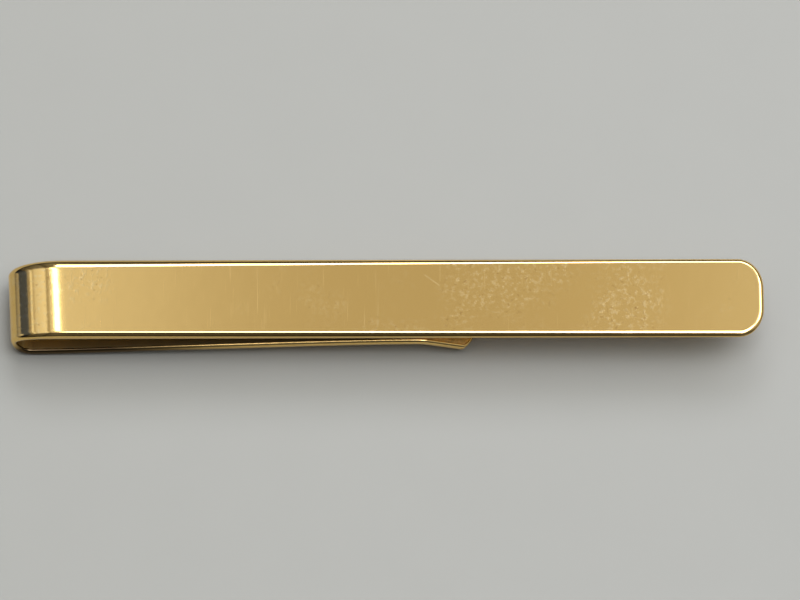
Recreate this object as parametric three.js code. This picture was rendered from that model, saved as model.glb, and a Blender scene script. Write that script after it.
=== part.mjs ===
// Tie bar: one strip of gold-coloured metal bent double.
// A flat bevelled bar lies on top, a tight spring bend closes one end, and a bowed tongue
// runs back under the bar and ends in a flared lip that lets cloth slide in.
// Millimetres, +Z up. The bar's face is level on top, the bend is at -X, the free end at +X.
// The strip is cut into nodes where it flexes, so that each length can turn on its neighbour.

import * as THREE from 'three';

// Driving dimensions
const overallLength = 58.3;
const overallHeight = 4.4;
const freeEndWidth = 6.46;
const bendEndWidth = 6.42;
const apexWidth = 5.95;
const tongueWidth = 6.1;
const barThicknessAtBend = 0.88;
const barThicknessAtFreeEnd = 0.55;
const bendThickness = 0.5;
const tongueThickness = 0.7;
const faceBevel = 0.22;
const backBevel = 0.08;

// Free end of the bar: a short flat between two elliptical corners
const freeCornerDepth = 1.95;
const freeCornerSide = 2.4;

// Bend: an upper and a lower quarter ellipse that meet at the apex, the most -X point
const shoulderLength = 4.6;
const shoulderDrop = 2.3;
const heelLength = 2;
const shoulderSteps = 18;
const heelSteps = 12;

// Tongue, measured from the bend's outer end
const barStart = 5;
const tongueReach = 31.8;
const tongueEaseOut = 4;
const tongueEaseIn = 7.5;
const contactGap = 0.98;
const tongueSteps = 24;
const flexStep = 11;

// Lip
const lipAngle = THREE.MathUtils.degToRad(20);
const lipBendRadius = 1.6;
const lipStraight = 3.75;
const lipCornerDepth = 0.9;
const lipCornerSide = 1.1;
const lipCornerRoundness = 1.6;
const lipBendSteps = 5;
const cornerSteps = 8;

// Places worked out from the dimensions
const bendEndX = -overallLength / 2;
const freeEndX = overallLength / 2;
const barStartX = bendEndX + barStart;
const apexZ = overallHeight - shoulderDrop;
const contactX = bendEndX + tongueReach;

const lerp = THREE.MathUtils.lerp;

function barFraction(x) {
  return (x - barStartX) / (freeEndX - barStartX);
}

function barThickness(x) {
  return lerp(barThicknessAtBend, barThicknessAtFreeEnd, barFraction(x));
}

const contactZ = overallHeight - barThickness(contactX) - contactGap - tongueThickness;

// A station is one cross-section of the strip. x and z lie on its outer surface, along is the
// direction that the strip runs in, and the metal lies on the inner side of that surface.
function station(x, z, along, thickness, width) {
  const outward = new THREE.Vector2(along.y, -along.x).normalize();
  return { x, z, outward, thickness, width };
}

// The eight corners of a station's bevelled rectangle, as [x, y, z].
function sectionCorners({ x, z, outward, thickness, width }) {
  const half = width / 2;
  const depthAndSide = [
    [0, -half + faceBevel],
    [0, half - faceBevel],
    [faceBevel, half],
    [thickness - backBevel, half],
    [thickness, half - backBevel],
    [thickness, -half + backBevel],
    [thickness - backBevel, -half],
    [faceBevel, -half],
  ];
  return depthAndSide.map(([depth, side]) => [
    x - depth * outward.x,
    side,
    z - depth * outward.y,
  ]);
}

// A closed body from rings that hold the same number of points: walls between neighbouring
// rings and a flat fan over the first and the last ring.
function bodyFromRings(rings) {
  const count = rings[0].length;
  const triangles = [];
  for (let ring = 0; ring + 1 < rings.length; ring += 1) {
    for (let corner = 0; corner < count; corner += 1) {
      const a = ring * count + corner;
      const b = ring * count + ((corner + 1) % count);
      triangles.push(a, b, b + count);
      triangles.push(a, b + count, a + count);
    }
  }
  const last = (rings.length - 1) * count;
  for (let corner = 1; corner + 1 < count; corner += 1) {
    triangles.push(0, corner + 1, corner);
    triangles.push(last, last + corner, last + corner + 1);
  }
  const geometry = new THREE.BufferGeometry();
  geometry.setAttribute('position', new THREE.Float32BufferAttribute(rings.flat(2), 3));
  geometry.setIndex(triangles);
  geometry.computeVertexNormals();
  return geometry;
}

function stripBody(stations) {
  return bodyFromRings(stations.map(sectionCorners));
}

// Front bar: the plate's outline, inset where a bevel needs it, at four heights.
function barOutline(inset, height) {
  const points = [];
  const addPoint = (x, side) => points.push([x, side, height(x)]);
  addPoint(barStartX, -bendEndWidth / 2 + inset);
  for (const direction of [-1, 1]) {
    for (let step = 0; step <= cornerSteps; step += 1) {
      const part = direction < 0 ? step : cornerSteps - step;
      const turn = (part / cornerSteps) * Math.PI / 2;
      const x = freeEndX - freeCornerDepth + (freeCornerDepth - inset) * Math.sin(turn);
      const flat = freeEndWidth / 2 - freeCornerSide;
      const side = flat + (freeCornerSide - inset) * Math.cos(turn);
      addPoint(x, direction * side);
    }
  }
  addPoint(barStartX, bendEndWidth / 2 - inset);
  return points;
}

function frontBar() {
  const underside = (x) => overallHeight - barThickness(x);
  return bodyFromRings([
    barOutline(backBevel, underside),
    barOutline(0, (x) => underside(x) + backBevel),
    barOutline(0, () => overallHeight - faceBevel),
    barOutline(faceBevel, () => overallHeight),
  ]);
}

// Upper quarter of the bend, from the flat bar down to the apex.
function bendShoulder() {
  const flatWest = new THREE.Vector2(-1, 0);
  const stations = [
    station(barStartX, overallHeight, flatWest, barThicknessAtBend, bendEndWidth),
  ];
  for (let step = 0; step <= shoulderSteps; step += 1) {
    const turn = (step / shoulderSteps) * Math.PI / 2;
    const ease = Math.sin(turn) ** 2;
    const x = bendEndX + shoulderLength * (1 - Math.sin(turn));
    const z = apexZ + shoulderDrop * Math.cos(turn);
    const along = new THREE.Vector2(
      -shoulderLength * Math.cos(turn),
      -shoulderDrop * Math.sin(turn),
    );
    const thickness = lerp(barThicknessAtBend, bendThickness, ease);
    stations.push(station(x, z, along, thickness, lerp(bendEndWidth, apexWidth, ease)));
  }
  return stripBody(stations);
}

// Lower quarter of the bend, from the apex to the root of the tongue.
function bendHeel() {
  const stations = [];
  for (let step = 0; step <= heelSteps; step += 1) {
    const turn = (step / heelSteps) * Math.PI / 2;
    const ease = Math.cos(turn) ** 2;
    const x = bendEndX + heelLength * (1 - Math.cos(turn));
    const z = apexZ * (1 - Math.sin(turn));
    const along = new THREE.Vector2(heelLength * Math.sin(turn), -apexZ * Math.cos(turn));
    const thickness = lerp(tongueThickness, bendThickness, ease);
    stations.push(station(x, z, along, thickness, lerp(tongueWidth, apexWidth, ease)));
  }
  return stripBody(stations);
}

// The tongue's lower surface: level at the heel, rising in a long bow, level at the contact.
const tonguePath = new THREE.CubicBezierCurve(
  new THREE.Vector2(bendEndX + heelLength, 0),
  new THREE.Vector2(bendEndX + heelLength + tongueEaseOut, 0),
  new THREE.Vector2(contactX - tongueEaseIn, contactZ),
  new THREE.Vector2(contactX, contactZ),
);

function tongueLength(firstStep, lastStep) {
  const stations = [];
  for (let step = firstStep; step <= lastStep; step += 1) {
    const fraction = step / tongueSteps;
    const point = tonguePath.getPoint(fraction);
    const along = tonguePath.getTangent(fraction);
    stations.push(station(point.x, point.y, along, tongueThickness, tongueWidth));
  }
  return stripBody(stations);
}

// Lip: the strip turns down on a small radius, runs straight and ends in clipped corners.
// A corner's outline is a superellipse: a roundness of 1 is an ellipse and 2 is a straight cut.
function flaredLip() {
  const stations = [];
  let turn = 0;
  for (let step = 0; step <= lipBendSteps; step += 1) {
    turn = (step / lipBendSteps) * lipAngle;
    const x = contactX + lipBendRadius * Math.sin(turn);
    const z = contactZ - lipBendRadius * (1 - Math.cos(turn));
    const along = new THREE.Vector2(Math.cos(turn), -Math.sin(turn));
    stations.push(station(x, z, along, tongueThickness, tongueWidth));
  }
  const start = stations.at(-1);
  const along = new THREE.Vector2(Math.cos(turn), -Math.sin(turn));
  for (let step = 0; step <= cornerSteps; step += 1) {
    const corner = (step / cornerSteps) * Math.PI / 2;
    const reach = Math.sin(corner) ** lipCornerRoundness;
    const cut = 1 - Math.cos(corner) ** lipCornerRoundness;
    const run = lipStraight - lipCornerDepth + lipCornerDepth * reach;
    const width = tongueWidth - 2 * lipCornerSide * cut;
    const x = start.x + run * along.x;
    const z = start.z + run * along.y;
    stations.push(station(x, z, along, tongueThickness, width));
  }
  return stripBody(stations);
}

const polishedGold = new THREE.MeshStandardMaterial({
  color: 0xd0ac62,
  metalness: 1,
  roughness: 0.22,
});

function goldMesh(name, geometry) {
  const mesh = new THREE.Mesh(geometry, polishedGold.clone());
  mesh.name = name;
  return mesh;
}

// Each group holds the lengths that move as one: the tip turns on the root length, and the
// root length turns on the front.
const tipLength = new THREE.Group();
tipLength.add(
  goldMesh('tongue_tip', tongueLength(flexStep, tongueSteps)),
  goldMesh('flared_lip', flaredLip()),
);

const rootLength = new THREE.Group();
rootLength.add(
  goldMesh('bend_heel', bendHeel()),
  goldMesh('tongue_root', tongueLength(0, flexStep)),
  tipLength,
);

const tieBar = new THREE.Group();
tieBar.add(
  goldMesh('front_bar', frontBar()),
  goldMesh('bend_shoulder', bendShoulder()),
  rootLength,
);

export default tieBar;
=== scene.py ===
"""A gold-plated tie bar: one strip bent double, laid out as a small add-on.

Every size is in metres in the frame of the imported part. The front bar, the spring bend and
the bowed tongue are each one operator, and the stage with its lights and camera is another.
"""

import math
from bisect import bisect_right
from collections import namedtuple

import bpy
from mathutils import Matrix, Vector


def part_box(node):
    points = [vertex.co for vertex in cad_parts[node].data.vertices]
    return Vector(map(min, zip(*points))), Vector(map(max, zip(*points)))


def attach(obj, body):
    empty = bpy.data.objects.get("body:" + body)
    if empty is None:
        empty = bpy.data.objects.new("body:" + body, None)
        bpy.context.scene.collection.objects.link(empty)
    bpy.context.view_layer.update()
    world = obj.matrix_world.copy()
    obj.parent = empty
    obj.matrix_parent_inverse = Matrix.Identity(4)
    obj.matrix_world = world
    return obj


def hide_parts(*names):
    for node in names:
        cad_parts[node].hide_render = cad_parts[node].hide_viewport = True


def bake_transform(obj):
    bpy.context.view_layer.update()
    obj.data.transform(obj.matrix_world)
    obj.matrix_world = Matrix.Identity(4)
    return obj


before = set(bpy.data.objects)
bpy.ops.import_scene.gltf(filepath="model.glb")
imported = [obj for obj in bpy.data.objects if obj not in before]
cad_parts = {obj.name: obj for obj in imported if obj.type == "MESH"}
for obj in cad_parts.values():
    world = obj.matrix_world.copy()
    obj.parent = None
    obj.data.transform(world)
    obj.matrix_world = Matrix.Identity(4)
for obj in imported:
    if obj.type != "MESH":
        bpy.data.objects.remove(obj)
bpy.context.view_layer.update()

bl_info = {
    "name": "Tie Bar",
    "version": (1, 0, 0),
    "blender": (4, 5, 0),
    "location": "View3D > Sidebar > Tie Bar",
    "description": "Builds a gold-plated tie bar with its spring bend, tongue and stage",
    "category": "Object",
}

MM = 0.001
INNER_MARK = "inner_face"
RUBBED_MARK = "rubbed_face"
SIDE_SHADE_MARK = "side_shade_share"

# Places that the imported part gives
BAR_LOW, BAR_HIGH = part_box("front_bar")
SHOULDER_LOW, SHOULDER_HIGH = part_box("bend_shoulder")
_, HEEL_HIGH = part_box("bend_heel")
TIP_LOW, TIP_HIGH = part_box("tongue_tip")
FACE_Z = BAR_HIGH[2]
BEND_END_X = SHOULDER_LOW[0]
APEX_Z = SHOULDER_LOW[2]
BEND_WIDTH = SHOULDER_HIGH[1] - SHOULDER_LOW[1]
FREE_WIDTH = BAR_HIGH[1] - BAR_LOW[1]
TONGUE_WIDTH = TIP_HIGH[1] - TIP_LOW[1]
CONTACT_X = TIP_HIGH[0]
CONTACT_TOP_Z = TIP_HIGH[2]

# How the strip's edges are made: the steps of an edge, the narrow steps that keep the metal
# beside it flat (a length, and a share of the thickness below the face edge), how sharply
# the face edge falls away, how quickly its roll fades along the bar, and the angle from
# which an edge shades sharp
EDGE_STEPS = 14
EDGE_SUPPORT = 0.03 * MM
SIDE_SUPPORT = 0.05
FALL_POWER = 2.2
ROLL_POWER = 1.5
SHARP_ANGLE = math.radians(50)

# The inner face is dull up to the contact, its darker colour partly painted shade under the bar,
# and the side is painted dark, as painted shade, from the bend to DEEP_END_X. Each fades out
# over its length.
DULL_AND_SHADE_FADE = 4 * MM
DEEP_END_X = -9 * MM
DEEP_FADE = 7 * MM

# The wear: the size of its marks, and the band of the noise in which a mark grows from none
# to full. Two bands also give the strengths at their two ends.
PATCH_SIZE = 8 * MM
PATCH_BAND = (0.46, 0.66)
MARK_SIZE = 0.36 * MM
MARK_BAND = (0.47, 0.7)
SPECK_BAND = (0.6, 0.82)
HAIRLINE_WIDTH = 0.09 * MM
HAIRLINE_STRETCH = (1.0, 40.0, 40.0)
HAIRLINE_BAND = (0.68, 0.8, 0.0, 0.4)
BLOTCH_SIZE = 0.5 * MM
BLOTCH_BAND = (0.4, 0.66, 0.0, 0.6)
RIPPLE_SIZE = 3 * MM
RIPPLE_BUMP = {"Strength": 0.12, "Distance": 0.02 * MM}
DENT_BUMP = {"Strength": 0.28, "Distance": 0.004 * MM}

# Where the wear lies: the shift of the scuffed patches, and each scratch as its middle, its
# length, its angle on the face and its depth
PATCH_SHIFT = (7.3 * MM, 0.0, 0.0)
SCRATCH_WIDTH = 0.07 * MM
SCRATCHES = (
    ((3.65 * MM, 1.4 * MM), 1.8 * MM, math.radians(-38), 0.75),
    ((8.6 * MM, -1.3 * MM), 0.9 * MM, math.radians(-8), 0.6),
    ((-0.5 * MM, -0.4 * MM), 4 * MM, math.radians(88), 0.22),
    ((17.6 * MM, -0.2 * MM), 1.2 * MM, math.radians(50), 0.4),
)

# The floor and its mottle, and what the camera takes in
FLOOR_HALF = 0.6
MOTTLE_SIZE = 6 * MM
MOTTLE_SHADE = 0.97
FRAME_WIDTH = 61.5 * MM
AIM = Vector((1.18 * MM, -0.26 * MM, FACE_Z))
CAMERA_ROLL = math.radians(-0.05)
SENSOR_WIDTH = 36.0

# The softboxes: name, direction from the bar, size, radiance and colour
SOFTBOX_DISTANCE = 0.8
COOL = (0.92, 0.97, 1.25)
WHITE = (1.0, 1.0, 1.0)
SOFTBOXES = (
    ("overhead_softbox", (0.2, -0.12, 1.0), (0.52, 0.54), 5.6, COOL),
    ("far_softbox", (0.03, 0.7, 0.7), (0.38, 0.33), 5.6, COOL),
    ("corner_softbox", (0.44, 0.67, 0.6), (0.32, 0.28), 3.4, COOL),
    ("right_softbox", (0.66, 0.27, 0.7), (0.5, 0.44), 3.4, COOL),
    ("band_softbox", (-0.235, 0.39, 0.89), (0.062, 0.2), 5.0, WHITE),
)

# How the room darkens towards the front, the back and the floor. Each is a range of the
# direction's part along that axis, and the factors at the range's two ends.
ROOM_FRONT = (-0.6, -0.1, 0.12, 1.0)
ROOM_BACK = (0.42, 0.65, 1.0, 0.2)
ROOM_HEIGHT = (0.0, 0.45, 0.35, 1.0)

# The room's level by direction, from the left (-1) to the right (1): doors and dark gaps at
# the far left, pale panels next to them, and a calm wall over the bar. The gaps are bluish,
# and so are the well lit panels.
ROOM_PEAK = 1.2
GAP_LEVEL = 0.15
LIT_LEVEL = 0.6
GAP_TINT = (0.7, 0.95, 2.0)
WALL_TINT = (0.98, 0.96, 0.95)
LIT_TINT = (1.0, 1.04, 1.2)
ROOM_SWEEP = (
    (-1.0, 0.62), (-0.91, 0.62), (-0.897, 0.1), (-0.76, 0.1), (-0.738, 0.12), (-0.722, 0.42),
    (-0.695, 0.3), (-0.68, 0.4), (-0.663, 1.05), (-0.645, 1.0), (-0.61, 0.45), (-0.58, 0.75),
    (-0.48, 0.85), (-0.375, 1.0), (-0.36, 0.4), (-0.33, 0.35), (-0.31, 0.7), (-0.2, 1.05),
    (-0.13, 0.95), (-0.052, 0.82), (-0.045, 0.73), (-0.035, 0.62), (-0.025, 0.535),
    (-0.015, 0.51), (0.015, 0.505), (0.025, 0.545), (0.043, 0.575), (0.053, 0.64),
    (0.1, 0.85), (0.45, 1.1), (0.9, 0.5),
)


# ---------------------------------------------------------------- sizes and colours


class TieBarShape(bpy.types.PropertyGroup):
    """Sizes of the strip"""

    bar_thickness_bend: bpy.props.FloatProperty(
        name="Bar thickness at the bend",
        description="Metal thickness where the bar meets the bend",
        default=BAR_HIGH[2] - BAR_LOW[2],
        unit="LENGTH",
    )
    bar_thickness_end: bpy.props.FloatProperty(
        name="Bar thickness at the free end",
        description="Metal thickness at the rounded free end",
        default=0.55 * MM,
        unit="LENGTH",
    )
    bend_thickness: bpy.props.FloatProperty(
        name="Bend thickness",
        description="Metal thickness at the apex of the bend",
        default=0.5 * MM,
        unit="LENGTH",
    )
    tongue_thickness: bpy.props.FloatProperty(
        name="Tongue thickness",
        description="Metal thickness of the tongue and its lip",
        default=0.7 * MM,
        unit="LENGTH",
    )
    shoulder_length: bpy.props.FloatProperty(
        name="Shoulder length",
        description="How far the upper quarter of the bend reaches along the bar",
        default=4.6 * MM,
        unit="LENGTH",
    )
    apex_width: bpy.props.FloatProperty(
        name="Apex width",
        description="Width of the strip at the apex of the bend",
        default=5.95 * MM,
        unit="LENGTH",
    )
    bend_lean: bpy.props.FloatProperty(
        name="Bend lean",
        description="How much further the bend's far side reaches out than its near side",
        default=0.36 * MM,
        unit="LENGTH",
    )
    face_edge: bpy.props.FloatProperty(
        name="Face edge width",
        description="How far the buffed edge of the outer face reaches in across the face",
        default=0.39 * MM,
        unit="LENGTH",
    )
    face_edge_fall: bpy.props.FloatProperty(
        name="Face edge fall",
        description="Share of the metal's thickness that the buffed edge reaches down",
        default=0.37,
        subtype="FACTOR",
    )
    far_roll: bpy.props.FloatProperty(
        name="Far edge roll",
        description="How much wider the far face edge is at the bend than at the free end",
        default=1.05,
        subtype="FACTOR",
    )
    back_edge: bpy.props.FloatProperty(
        name="Back edge radius",
        description="Radius of the broken edge round the inner face",
        default=0.26 * MM,
        unit="LENGTH",
    )
    free_corner_depth: bpy.props.FloatProperty(
        name="Free corner depth",
        description="How far the free end's corners reach along the bar",
        default=1.95 * MM,
        unit="LENGTH",
    )
    free_corner_side: bpy.props.FloatProperty(
        name="Free corner side",
        description="How far the free end's corners reach across the bar",
        default=2.4 * MM,
        unit="LENGTH",
    )
    lip_corner_depth: bpy.props.FloatProperty(
        name="Lip corner depth",
        description="How far the lip's corners reach along the lip",
        default=0.9 * MM,
        unit="LENGTH",
    )
    lip_corner_side: bpy.props.FloatProperty(
        name="Lip corner side",
        description="How far the lip's corners reach across the lip",
        default=1.1 * MM,
        unit="LENGTH",
    )
    lip_corner_roundness: bpy.props.FloatProperty(
        name="Lip corner roundness",
        description="Power of the corner's outline: 1 is an ellipse and 2 is a straight cut",
        default=1.6,
    )
    lip_angle: bpy.props.FloatProperty(
        name="Lip angle",
        description="How steeply the lip turns down from the tongue",
        default=math.radians(20),
        subtype="ANGLE",
    )
    lip_bend_radius: bpy.props.FloatProperty(
        name="Lip bend radius",
        description="Radius of the lip's bend along its lower surface",
        default=1.6 * MM,
        unit="LENGTH",
    )
    lip_straight: bpy.props.FloatProperty(
        name="Lip straight",
        description="Length of the straight part of the lip",
        default=3.75 * MM,
        unit="LENGTH",
    )
    tongue_ease_out: bpy.props.FloatProperty(
        name="Tongue ease out",
        description="How long the tongue stays low as it leaves the heel",
        default=4 * MM,
        unit="LENGTH",
    )
    tongue_ease_in: bpy.props.FloatProperty(
        name="Tongue ease in",
        description="How long the tongue runs level before the lip",
        default=7.5 * MM,
        unit="LENGTH",
    )


def linear_colour(hex_colour):
    """An sRGB hex colour as linear red, green, blue and an alpha of 1."""
    channels = [int(hex_colour[i:i + 2], 16) / 255 for i in (1, 3, 5)]
    linear = [c / 12.92 if c <= 0.04045 else ((c + 0.055) / 1.055) ** 2.4 for c in channels]
    return (*linear, 1.0)


class TieBarFinish(bpy.types.PropertyGroup):
    """Colours and polish of the plating"""

    plating: bpy.props.FloatVectorProperty(
        name="Plating",
        description="Colour of the clean gold plating",
        default=linear_colour("#F3CB7A"),
        subtype="COLOR",
        size=4,
    )
    scuffed: bpy.props.FloatVectorProperty(
        name="Scuffed plating",
        description="Colour of the plating inside a patch of fine scuffs",
        default=linear_colour("#F2D08A"),
        subtype="COLOR",
        size=4,
    )
    # Partly painted shade: besides the unpolished finish, this darker colour paints the shade
    # under the bar onto the inner face.
    inner: bpy.props.FloatVectorProperty(
        name="Inner face",
        description="Colour of the dulled inner face, which polishing does not reach",
        default=linear_colour("#B09A68"),
        subtype="COLOR",
        size=4,
    )
    specks: bpy.props.FloatVectorProperty(
        name="Specks",
        description="Colour of the small tarnished specks",
        default=linear_colour("#D8AE66"),
        subtype="COLOR",
        size=4,
    )
    # Painted shade: this dark brown paints onto the side below the bend the shade it shows; it
    # is not a real tarnish.
    painted_shade_colour: bpy.props.FloatVectorProperty(
        name="Tarnished side",
        description="Colour of the strip's side deep below the bend",
        default=linear_colour("#5C4A30"),
        subtype="COLOR",
        size=4,
    )
    polish: bpy.props.FloatProperty(
        name="Polish",
        description="Roughness of the clean polished plating",
        default=0.09,
        subtype="FACTOR",
    )
    scuff_roughness: bpy.props.FloatProperty(
        name="Scuff roughness",
        description="Roughness that the deepest scuffs add",
        default=0.05,
        subtype="FACTOR",
    )
    inner_roughness: bpy.props.FloatProperty(
        name="Inner roughness",
        description="Roughness that the inner face adds",
        default=0.25,
        subtype="FACTOR",
    )
    rubbed_roughness: bpy.props.FloatProperty(
        name="Rubbed roughness",
        description="Roughness that rubbing by cloth adds near the grip and on the lip",
        default=0.4,
        subtype="FACTOR",
    )


class TieBarStage(bpy.types.PropertyGroup):
    """Floor, light and camera"""

    floor: bpy.props.FloatVectorProperty(
        name="Floor",
        description="Colour of the pale floor",
        default=linear_colour("#928F7C"),
        subtype="COLOR",
        size=4,
    )
    view_height: bpy.props.FloatProperty(
        name="View elevation",
        description="How far above the horizon the camera stands",
        default=math.radians(67),
        subtype="ANGLE",
    )
    view_distance: bpy.props.FloatProperty(
        name="View distance",
        description="How far the camera stands from the bar's face",
        default=0.5,
        unit="LENGTH",
    )


# ---------------------------------------------------------------- mesh helpers


def edge_rings(shape):
    """The strip's side as (inset, share of the thickness, depth from the back) steps.

    A step has a share of the thickness, measured from the face, or a depth from the back,
    and the other is None. The first and last steps lie on the flats, so that the flats
    shade flat up to their edges.
    """
    rings = [(shape.face_edge + EDGE_SUPPORT, 0.0, None)]
    for step in range(EDGE_STEPS + 1):
        across = step / EDGE_STEPS
        fall = shape.face_edge_fall * across ** FALL_POWER
        rings.append((shape.face_edge * (1 - across), fall, None))
    rings.append((0.0, shape.face_edge_fall + SIDE_SUPPORT, None))
    rings.append((0.0, None, shape.back_edge + EDGE_SUPPORT))
    back_steps = EDGE_STEPS // 2
    for step in range(back_steps + 1):
        turn = step / back_steps * math.pi / 2
        inset = shape.back_edge * (1 - math.cos(turn))
        rings.append((inset, None, shape.back_edge * (1 - math.sin(turn))))
    rings.append((shape.back_edge + EDGE_SUPPORT, None, 0.0))
    return rings


def rolled_in(side, half_width, extra):
    """Moves a place on the far side in, so that its inset grows by an extra share."""
    return side - (half_width - side) * extra if side > 0 else side


def share_of(value):
    """A value kept between 0 and 1."""
    return min(max(value, 0.0), 1.0)


def side_shade_share(point):
    """How much painted shade darkens a point of the strip's side, by how far it lies in below
    the bend.
    """
    return share_of((DEEP_END_X - point[0]) / DEEP_FADE) * share_of(2 - 2 * point[2] / APEX_Z)


def strip_faces(last, count, round_end):
    """The faces of a strip with rings 0 to last and count rows on each side of a ring."""

    def corner(ring, side, row):
        return (2 * ring + side) * count + row

    faces = []
    for ring in range(last):
        for row in range(count - 1):
            near = [(ring, row), (ring + 1, row), (ring + 1, row + 1), (ring, row + 1)]
            faces.append([corner(r, 0, i) for r, i in near])
            faces.append([corner(r, 1, i) for r, i in reversed(near)])
        if round_end:
            end = count - 1
            faces.append([corner(ring, 0, end), corner(ring + 1, 0, end),
                          corner(ring + 1, 1, end), corner(ring, 1, end)])
    for row in range(count - 1):
        faces.append([corner(0, 0, row), corner(0, 0, row + 1),
                      corner(0, 1, row + 1), corner(0, 1, row)])
        faces.append([corner(last, 1, row), corner(last, 1, row + 1),
                      corner(last, 0, row + 1), corner(last, 0, row)])
    start = [corner(r, 0, 0) for r in range(last + 1)]
    start += [corner(r, 1, 0) for r in range(last, -1, -1)]
    faces.append(list(reversed(start)))
    if not round_end:
        end = [corner(r, 0, count - 1) for r in range(last + 1)]
        end += [corner(r, 1, count - 1) for r in range(last, -1, -1)]
        faces.append(end)
    return faces


def strip_mesh(name, rings, rows_of_ring, place, round_end):
    """A closed strip from outline rings.

    rows_of_ring(inset) gives (run, half width, thickness) rows from the strip's start to its
    end, and place(run, side, depth) gives a point. The rows of every ring match, so the
    walls join ring to ring and the two flats join side to side. Three marks on the points
    say where the inner face is dull and partly painted darker as shade under the bar, where
    it is rubbed and where the side is painted dark as painted shade.
    """
    points = []
    inner = []
    rubbed = []
    deep = []
    last = len(rings) - 1
    for ring, (inset, share, back_depth) in enumerate(rings):
        rows = rows_of_ring(inset)
        for side in (-1, 1):
            for run, half_width, thickness in rows:
                depth = share * thickness if back_depth is None else thickness - back_depth
                point = place(run, side * half_width, depth)
                points.append(point)
                # The inner face's mark is partly painted shade under the bar, fading out at the
                # contact; the side's mark is painted shade below the bend.
                dull = share_of((CONTACT_X - point[0]) / DULL_AND_SHADE_FADE)
                inner.append(dull if ring == last else 0.0)
                rubbed.append(1.0 - dull if ring == last else 0.0)
                deep.append(side_shade_share(point) if 1 < ring < last else 0.0)

    mesh = bpy.data.meshes.new(name)
    mesh.from_pydata(points, [], strip_faces(last, len(rows_of_ring(0.0)), round_end))
    for mark, values in ((INNER_MARK, inner), (RUBBED_MARK, rubbed), (SIDE_SHADE_MARK, deep)):
        mesh.attributes.new(mark, "FLOAT", "POINT").data.foreach_set("value", values)
    mesh.validate()
    mesh.polygons.foreach_set("use_smooth", [True] * len(mesh.polygons))
    mesh.set_sharp_from_angle(angle=SHARP_ANGLE)
    piece = bpy.data.objects.new(name, mesh)
    bpy.context.scene.collection.objects.link(piece)
    return piece


def rounded_rows(start, end, half_width, thickness, corner, steps):
    """Rows of a strip whose end has two rounded corners and a short flat.

    corner is (depth along, reach across, roundness). The result takes an inset and gives
    the rows.
    """
    corner_depth, corner_side, roundness = corner
    corner_steps = 24

    def rows(inset):
        straight_end = end - corner_depth
        result = []
        for step in range(steps):
            run = start + (straight_end - start) * step / steps
            result.append((run, half_width(run) - inset, thickness(run)))
        flat = half_width(end) - corner_side
        for step in range(corner_steps + 1):
            turn = step / corner_steps * math.pi / 2
            run = straight_end + (corner_depth - inset) * math.sin(turn) ** roundness
            side = flat + (corner_side - inset) * abs(math.cos(turn)) ** roundness
            result.append((run, side, thickness(run)))
        return result

    return rows


def sampled_path(points):
    """place(run, side, depth) along a list of (x, z) points, and the path's whole length."""
    lengths = [0.0]
    for before, after in zip(points, points[1:]):
        lengths.append(lengths[-1] + (after - before).length)

    def tangent(index):
        before = points[max(index - 1, 0)]
        after = points[min(index + 1, len(points) - 1)]
        return (after - before).normalized()

    def place(run, side, depth):
        low = min(max(bisect_right(lengths, run) - 1, 0), len(points) - 2)
        span = points[low + 1] - points[low]
        fraction = (run - lengths[low]) / span.length
        along = tangent(low).lerp(tangent(low + 1), share_of(fraction)).normalized()
        outward = Vector((along[1], -along[0]))
        spot = points[low] + span * fraction - outward * depth
        return (spot[0], side, spot[1])

    return place, lengths[-1]


# ---------------------------------------------------------------- materials


def add_node(tree, kind, inputs=None, links=None, **settings):
    """Adds a node, sets its properties and input values, and links outputs into its inputs."""
    node = tree.nodes.new(kind)
    for key, value in settings.items():
        setattr(node, key, value)
    for key, value in (inputs or {}).items():
        node.inputs[key].default_value = value
    for key, source in (links or {}).items():
        tree.links.new(source, node.inputs[key])
    return node


def noise_on(tree, place, grain, detail, stretch=(1.0, 1.0, 1.0)):
    """Noise with marks about a grain long, made longer along an axis by its stretch."""
    scale = [1 / (grain * part) for part in stretch]
    spread = add_node(tree, "ShaderNodeVectorMath", {1: scale}, {0: place},
                      operation="MULTIPLY")
    return add_node(tree, "ShaderNodeTexNoise",
                    {"Scale": 1.0, "Detail": detail, "Roughness": 0.6},
                    {"Vector": spread.outputs["Vector"]}).outputs["Fac"]


def remap(tree, value, low, high, to_low=0.0, to_high=1.0):
    """The part of a value between low and high, spread smoothly over a new range."""
    return add_node(tree, "ShaderNodeMapRange",
                    {"From Min": low, "From Max": high, "To Min": to_low, "To Max": to_high},
                    {"Value": value}, interpolation_type="SMOOTHSTEP").outputs["Result"]


def combine(tree, operation, first, second):
    """Adds, multiplies or compares two values; either may be a plain number."""
    node = add_node(tree, "ShaderNodeMath", operation=operation)
    for index, value in enumerate((first, second)):
        if isinstance(value, (int, float)):
            node.inputs[index].default_value = value
        else:
            tree.links.new(value, node.inputs[index])
    return node.outputs["Value"]


def mix_colour(tree, under, over, share):
    """Lays a plain colour over another by a share; the one under it may come from a node."""
    node = add_node(tree, "ShaderNodeMix", {"B": over}, {"Factor": share}, data_type="RGBA")
    if isinstance(under, bpy.types.NodeSocket):
        tree.links.new(under, node.inputs["A"])
    else:
        node.inputs["A"].default_value = under
    return node.outputs["Result"]


def new_surface(name, settings):
    """A new material with one principled shader: the material, its node tree, the shader."""
    material = bpy.data.materials.new(name)
    material.use_nodes = True
    tree = material.node_tree
    tree.nodes.clear()
    output = add_node(tree, "ShaderNodeOutputMaterial")
    shader = add_node(tree, "ShaderNodeBsdfPrincipled", settings)
    tree.links.new(shader.outputs["BSDF"], output.inputs["Surface"])
    return material, tree, shader


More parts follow.
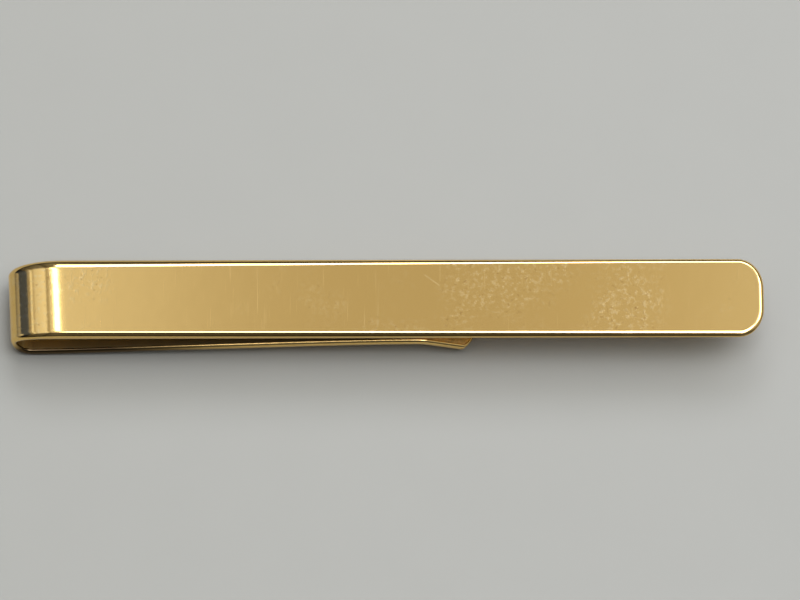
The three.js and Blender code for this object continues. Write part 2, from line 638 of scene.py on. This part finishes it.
def scratch(tree, place, middle, length, angle):
    """1 inside a short straight scratch on the face and 0 outside, with soft borders."""
    offset = add_node(tree, "ShaderNodeVectorMath", {1: (*middle, 0.0)}, {0: place},
                      operation="SUBTRACT")
    turned = add_node(tree, "ShaderNodeVectorRotate", {"Angle": -angle},
                      {"Vector": offset.outputs["Vector"]}, rotation_type="Z_AXIS")
    along, across, _ = add_node(tree, "ShaderNodeSeparateXYZ",
                                links={"Vector": turned.outputs["Vector"]}).outputs
    within = remap(tree, combine(tree, "ABSOLUTE", along, 0.0), length / 2, length / 3)
    close = remap(tree, combine(tree, "ABSOLUTE", across, 0.0), SCRATCH_WIDTH, SCRATCH_WIDTH / 4)
    return combine(tree, "MULTIPLY", within, close)


def face_wear(tree, place):
    """How worn the plating is at a place, and how much tarnish it has."""
    moved = add_node(tree, "ShaderNodeVectorMath", {1: PATCH_SHIFT}, {0: place},
                     operation="ADD").outputs["Vector"]
    patch = remap(tree, noise_on(tree, moved, PATCH_SIZE, 2.0), *PATCH_BAND)
    marks = remap(tree, noise_on(tree, place, MARK_SIZE, 3.0), *MARK_BAND)
    scuffs = combine(tree, "MULTIPLY", patch, marks)
    hairlines = remap(tree, noise_on(tree, place, HAIRLINE_WIDTH, 1.0, HAIRLINE_STRETCH),
                      *HAIRLINE_BAND)
    wear = combine(tree, "MAXIMUM", scuffs, hairlines)
    for middle, length, angle, depth in SCRATCHES:
        mark = combine(tree, "MULTIPLY", scratch(tree, place, middle, length, angle), depth)
        wear = combine(tree, "MAXIMUM", wear, mark)
    specks = remap(tree, noise_on(tree, moved, MARK_SIZE, 1.5), *SPECK_BAND)
    return wear, combine(tree, "MULTIPLY", patch, specks)


def polished_gold_plate(finish):
    """Gold electroplate on polished brass: buffed to a mirror, then scuffed by cloth and keys.

    Patches of fine scuffs, thin hairlines across the strip and a slow ripple left by buffing
    break up the mirror. The inner face stays dull where no buffing wheel reaches, and its darker
    colour is also painted shade under the bar. The side below the bend is painted dark as
    painted shade. Cloth rubs the inner face of the lip.
    """
    material = bpy.data.materials.get("polished_gold_plate")
    if material:
        return material
    material, tree, metal = new_surface("polished_gold_plate", {"Metallic": 1.0})
    place = add_node(tree, "ShaderNodeTexCoord").outputs["Object"]
    inner, rubbed, deep = (
        add_node(tree, "ShaderNodeAttribute", attribute_name=mark).outputs["Fac"]
        for mark in (INNER_MARK, RUBBED_MARK, SIDE_SHADE_MARK)
    )
    wear, tarnish = face_wear(tree, place)
    blotches = remap(tree, noise_on(tree, place, BLOTCH_SIZE, 3.0), *BLOTCH_BAND)
    # The inner face's darker colour is partly painted shade under the bar; the rubbed blotches
    # on the lip are real wear.
    dull_and_painted_shade = combine(tree, "MAXIMUM", inner, combine(tree, "MULTIPLY", rubbed, blotches))

    colour = mix_colour(tree, finish.plating, finish.scuffed, wear)
    colour = mix_colour(tree, colour, finish.specks, tarnish)
    colour = mix_colour(tree, colour, finish.inner, dull_and_painted_shade)
    # Painted shade: the side below the bend is darkened to a dark brown.
    colour = mix_colour(tree, colour, finish.painted_shade_colour, deep)
    tree.links.new(colour, metal.inputs["Base Color"])

    rough = combine(tree, "ADD", combine(tree, "MULTIPLY", wear, finish.scuff_roughness),
                    combine(tree, "MULTIPLY", inner, finish.inner_roughness))
    rough = combine(tree, "ADD", rough,
                    combine(tree, "MULTIPLY", rubbed, finish.rubbed_roughness))
    tree.links.new(combine(tree, "ADD", rough, finish.polish), metal.inputs["Roughness"])

    ripple = add_node(tree, "ShaderNodeBump", RIPPLE_BUMP,
                      {"Height": noise_on(tree, place, RIPPLE_SIZE, 2.0)})
    dents = add_node(tree, "ShaderNodeBump", DENT_BUMP,
                     {"Height": wear, "Normal": ripple.outputs["Normal"]})
    tree.links.new(dents.outputs["Normal"], metal.inputs["Normal"])
    return material


def pale_board(stage):
    """Matt pale card: a soft, even sheet with a faint fibre mottle."""
    material, tree, card = new_surface("pale_board", {"Roughness": 0.6, "IOR": 1.45})
    place = add_node(tree, "ShaderNodeTexCoord").outputs["Object"]
    mottle = add_node(tree, "ShaderNodeTexNoise", {"Scale": 1 / MOTTLE_SIZE, "Detail": 3.0},
                      {"Vector": place})
    darker = [channel * MOTTLE_SHADE for channel in stage.floor[:3]] + [1.0]
    colour = mix_colour(tree, stage.floor, darker, mottle.outputs["Fac"])
    tree.links.new(colour, card.inputs["Base Color"])
    return material


# ---------------------------------------------------------------- pieces


def finish_piece(piece, body, *nodes):
    """Gives a piece its plating, its body and the nodes it stands for."""
    piece.data.materials.append(polished_gold_plate(bpy.context.scene.tie_bar_finish))
    if body:
        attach(piece, body)
    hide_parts(*nodes)


class TIEBAR_OT_front_bar(bpy.types.Operator):
    """Build the flat front bar with its polished edges and rounded free end"""

    bl_idname = "tie_bar.front_bar"
    bl_label = "Front Bar"

    def execute(self, context):
        shape = context.scene.tie_bar_shape
        start_x, end_x = BAR_LOW[0], BAR_HIGH[0]
        bar_steps = 60

        def fraction_at(x):
            return (x - start_x) / (end_x - start_x)

        def half_width(x):
            return (BEND_WIDTH + (FREE_WIDTH - BEND_WIDTH) * fraction_at(x)) / 2

        def thickness(x):
            loss = shape.bar_thickness_bend - shape.bar_thickness_end
            return shape.bar_thickness_bend - loss * fraction_at(x)

        def place(x, side, depth):
            if depth < thickness(x) / 2:
                extra = shape.far_roll * (1 - share_of(fraction_at(x))) ** ROLL_POWER
                side = rolled_in(side, half_width(x), extra)
            return (x, side, FACE_Z - depth)

        corner = (shape.free_corner_depth, shape.free_corner_side, 1.0)
        rows = rounded_rows(start_x, end_x, half_width, thickness, corner, bar_steps)
        rings = edge_rings(shape)
        bar = strip_mesh("front_bar_strip", rings, rows, place, True)
        finish_piece(bar, "front", "front_bar")
        return {"FINISHED"}


# A cross-section of the bend. spot is on its outer surface and outward points out of it.
# lean is the share of the lean that it takes, lean_start is the side that stays in place,
# and roll is the share of the far edge's roll.
BendStation = namedtuple(
    "BendStation", "spot outward thickness half_width lean lean_start roll")


def bend_stations(shape):
    """The bend's cross-sections: down the shoulder to the apex, then along the heel."""
    shoulder_steps, heel_steps = 72, 48
    drop = FACE_Z - APEX_Z
    heel_length = HEEL_HIGH[0] - BEND_END_X
    stations = [BendStation(Vector((BAR_LOW[0], FACE_Z)), Vector((0.0, 1.0)),
                            shape.bar_thickness_bend, BEND_WIDTH / 2, 0.0, 0.0, 1.0)]
    for step in range(shoulder_steps + 1):
        turn = step / shoulder_steps * math.pi / 2
        ease = math.sin(turn) ** 2
        spot = Vector((BEND_END_X + shape.shoulder_length * (1 - math.sin(turn)),
                       APEX_Z + drop * math.cos(turn)))
        outward = Vector((-drop * math.sin(turn),
                          shape.shoulder_length * math.cos(turn))).normalized()
        loss = (shape.bar_thickness_bend - shape.bend_thickness) * ease
        half_width = (BEND_WIDTH + (shape.apex_width - BEND_WIDTH) * ease) / 2
        stations.append(BendStation(spot, outward, shape.bar_thickness_bend - loss,
                                    half_width, 1.0, ease / 2, share_of(2 - 2 * ease)))
    for step in range(1, heel_steps + 1):
        turn = step / heel_steps * math.pi / 2
        ease = math.cos(turn) ** 2
        spot = Vector((BEND_END_X + heel_length * (1 - math.cos(turn)),
                       APEX_Z * (1 - math.sin(turn))))
        outward = Vector((-APEX_Z * math.cos(turn),
                          -heel_length * math.sin(turn))).normalized()
        gain = (shape.tongue_thickness - shape.bend_thickness) * ease
        half_width = (TONGUE_WIDTH + (shape.apex_width - TONGUE_WIDTH) * ease) / 2
        stations.append(BendStation(spot, outward, shape.tongue_thickness - gain,
                                    half_width, ease, 0.5, 0.0))
    return stations


class TIEBAR_OT_spring_bend(bpy.types.Operator):
    """Build the spring bend from the front bar round to the root of the tongue"""

    bl_idname = "tie_bar.spring_bend"
    bl_label = "Spring Bend"

    def execute(self, context):
        shape = context.scene.tie_bar_shape
        stations = bend_stations(shape)

        def rows(inset):
            return [(index, station.half_width - inset, station.thickness)
                    for index, station in enumerate(stations)]

        def place(index, side, depth):
            station = stations[index]
            inner = station.spot - station.outward * depth
            if depth < station.thickness / 2:
                side = rolled_in(side, station.half_width, shape.far_roll * station.roll)
            lean = shape.bend_lean * (station.lean_start - side / BEND_WIDTH) * station.lean
            return (inner[0] + lean, side, inner[1])

        rings = edge_rings(shape)
        bend = strip_mesh("spring_bend_strip", rings, rows, place, False)
        finish_piece(bend, None, "bend_shoulder", "bend_heel")
        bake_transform(bend)
        return {"FINISHED"}


def tongue_points(shape):
    """The tongue's lower surface as (x, z) points: a long bow, the lip's bend and the lip."""
    bow_steps, lip_steps = 96, 24
    start = Vector((HEEL_HIGH[0], 0.0))
    contact = Vector((CONTACT_X, CONTACT_TOP_Z - shape.tongue_thickness))
    leave = start + Vector((shape.tongue_ease_out, 0.0))
    arrive = contact - Vector((shape.tongue_ease_in, 0.0))
    points = []
    for step in range(bow_steps + 1):
        t = step / bow_steps
        points.append(start * (1 - t) ** 3 + leave * 3 * t * (1 - t) ** 2
                      + arrive * 3 * t * t * (1 - t) + contact * t ** 3)
    radius = shape.lip_bend_radius
    for step in range(1, lip_steps + 1):
        turn = step / lip_steps * shape.lip_angle
        points.append(contact + Vector((radius * math.sin(turn),
                                        -radius * (1 - math.cos(turn)))))
    slope = Vector((math.cos(shape.lip_angle), -math.sin(shape.lip_angle)))
    lip_start = points[-1]
    points.extend(lip_start + slope * shape.lip_straight * part for part in (0.1, 0.5, 1.0))
    return points


class TIEBAR_OT_tongue(bpy.types.Operator):
    """Build the bowed tongue and the flared lip that leads cloth in"""

    bl_idname = "tie_bar.tongue"
    bl_label = "Tongue and Lip"

    def execute(self, context):
        shape = context.scene.tie_bar_shape
        strip_steps = 140
        place, length = sampled_path(tongue_points(shape))

        def half_width(_):
            return TONGUE_WIDTH / 2

        def thickness(_):
            return shape.tongue_thickness

        corner = (shape.lip_corner_depth, shape.lip_corner_side, shape.lip_corner_roundness)
        rows = rounded_rows(0.0, length, half_width, thickness, corner, strip_steps)
        rings = edge_rings(shape)
        tongue = strip_mesh("tongue_strip", rings, rows, place, True)
        finish_piece(tongue, None, "tongue_root", "tongue_tip", "flared_lip")
        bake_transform(tongue)
        return {"FINISHED"}


# ---------------------------------------------------------------- stage


def add_softbox(name, direction, size, radiance, colour):
    """An area light in a direction from the bar, with its brightness as radiance."""
    light = bpy.data.lights.new(name, "AREA")
    light.shape = "RECTANGLE"
    light.size, light.size_y = size
    light.energy = radiance * math.pi * size[0] * size[1]
    light.color = colour
    box = bpy.data.objects.new(name, light)
    towards = Vector(direction).normalized()
    turn = towards.to_track_quat("Z", "Y").to_matrix().to_4x4()
    box.matrix_world = Matrix.Translation(towards * SOFTBOX_DISTANCE) @ turn
    bpy.context.scene.collection.objects.link(box)


def panel_tint(level):
    """The tint of a room panel by its level."""
    if level < GAP_LEVEL:
        return GAP_TINT
    return WALL_TINT if level < LIT_LEVEL else LIT_TINT


def room_light():
    """A soft room of panels that run front to back, darker low down and at both ends.

    ROOM_SWEEP gives the level from left to right. The front, back and height factors
    multiply it.
    """
    world = bpy.data.worlds.new("room_light")
    bpy.context.scene.world = world
    world.use_nodes = True
    tree = world.node_tree
    tree.nodes.clear()
    output = add_node(tree, "ShaderNodeOutputWorld")
    glow = add_node(tree, "ShaderNodeBackground")
    tree.links.new(glow.outputs["Background"], output.inputs["Surface"])
    direction = add_node(tree, "ShaderNodeTexCoord").outputs["Generated"]
    side, depth, rise = add_node(tree, "ShaderNodeSeparateXYZ",
                                 links={"Vector": direction}).outputs

    sweep = add_node(tree, "ShaderNodeMapRange", {"From Min": -1.0, "From Max": 1.0},
                     {"Value": side})
    panels = add_node(tree, "ShaderNodeValToRGB", links={"Fac": sweep.outputs["Result"]})
    stops = panels.color_ramp.elements
    stops.remove(stops[1])
    for index, (place, level) in enumerate(ROOM_SWEEP):
        stop = stops[0] if index == 0 else stops.new((place + 1) / 2)
        stop.color = (*(level / ROOM_PEAK * part for part in panel_tint(level)), 1.0)
    tree.links.new(panels.outputs["Color"], glow.inputs["Color"])

    front = remap(tree, depth, *ROOM_FRONT)
    back = remap(tree, depth, *ROOM_BACK)
    height = remap(tree, rise, *ROOM_HEIGHT)
    level = combine(tree, "MULTIPLY", combine(tree, "MULTIPLY", front, back), height)
    tree.links.new(combine(tree, "MULTIPLY", level, ROOM_PEAK), glow.inputs["Strength"])


def add_floor(stage):
    """The pale floor that the bar lies on."""
    mesh = bpy.data.meshes.new("floor")
    corners = [(x * FLOOR_HALF, y * FLOOR_HALF, 0.0)
               for x, y in ((-1, -1), (1, -1), (1, 1), (-1, 1))]
    mesh.from_pydata(corners, [], [(0, 1, 2, 3)])
    floor = bpy.data.objects.new("floor", mesh)
    floor.data.materials.append(pale_board(stage))
    bpy.context.scene.collection.objects.link(floor)


def add_camera(stage):
    """The camera, square to the bar and looking down on it from the near side."""
    camera = bpy.data.cameras.new("camera")
    camera.sensor_width = SENSOR_WIDTH
    camera.lens = camera.sensor_width * stage.view_distance / FRAME_WIDTH
    camera.clip_start = 0.01
    eye = bpy.data.objects.new("camera", camera)
    back = Vector((0.0, -math.cos(stage.view_height), math.sin(stage.view_height)))
    turn = back.to_track_quat("Z", "Y").to_matrix().to_4x4()
    roll = Matrix.Rotation(CAMERA_ROLL, 4, "Z")
    eye.matrix_world = Matrix.Translation(AIM + back * stage.view_distance) @ turn @ roll
    bpy.context.scene.collection.objects.link(eye)
    bpy.context.scene.camera = eye


class TIEBAR_OT_stage(bpy.types.Operator):
    """Lay the pale floor and set the soft lights and the camera"""

    bl_idname = "tie_bar.stage"
    bl_label = "Stage"

    def execute(self, context):
        add_floor(context.scene.tie_bar_stage)
        room_light()
        for name, direction, size, radiance, colour in SOFTBOXES:
            add_softbox(name, direction, size, radiance, colour)
        view = context.scene.view_settings
        view.view_transform = "Standard"
        view.look = "None"
        add_camera(context.scene.tie_bar_stage)
        return {"FINISHED"}


# ---------------------------------------------------------------- panel and registration


OPERATORS = (
    TIEBAR_OT_front_bar,
    TIEBAR_OT_spring_bend,
    TIEBAR_OT_tongue,
    TIEBAR_OT_stage,
)


class TIEBAR_PT_panel(bpy.types.Panel):
    """Lists the tie bar's operators"""

    bl_idname = "TIEBAR_PT_panel"
    bl_label = "Tie Bar"
    bl_space_type = "VIEW_3D"
    bl_region_type = "UI"
    bl_category = "Tie Bar"

    def draw(self, context):
        for operator in OPERATORS:
            self.layout.operator(operator.bl_idname)


PROPERTY_GROUPS = {
    "tie_bar_shape": TieBarShape,
    "tie_bar_finish": TieBarFinish,
    "tie_bar_stage": TieBarStage,
}


def register():
    for name, group in PROPERTY_GROUPS.items():
        bpy.utils.register_class(group)
        setattr(bpy.types.Scene, name, bpy.props.PointerProperty(type=group))
    for operator in OPERATORS:
        bpy.utils.register_class(operator)
    bpy.utils.register_class(TIEBAR_PT_panel)


def unregister():
    bpy.utils.unregister_class(TIEBAR_PT_panel)
    for operator in reversed(OPERATORS):
        bpy.utils.unregister_class(operator)
    for name, group in reversed(PROPERTY_GROUPS.items()):
        delattr(bpy.types.Scene, name)
        bpy.utils.unregister_class(group)


def main():
    register()
    bpy.ops.tie_bar.front_bar()
    bpy.ops.tie_bar.spring_bend()
    bpy.ops.tie_bar.tongue()
    bpy.ops.tie_bar.stage()


if __name__ == "__main__":
    main()
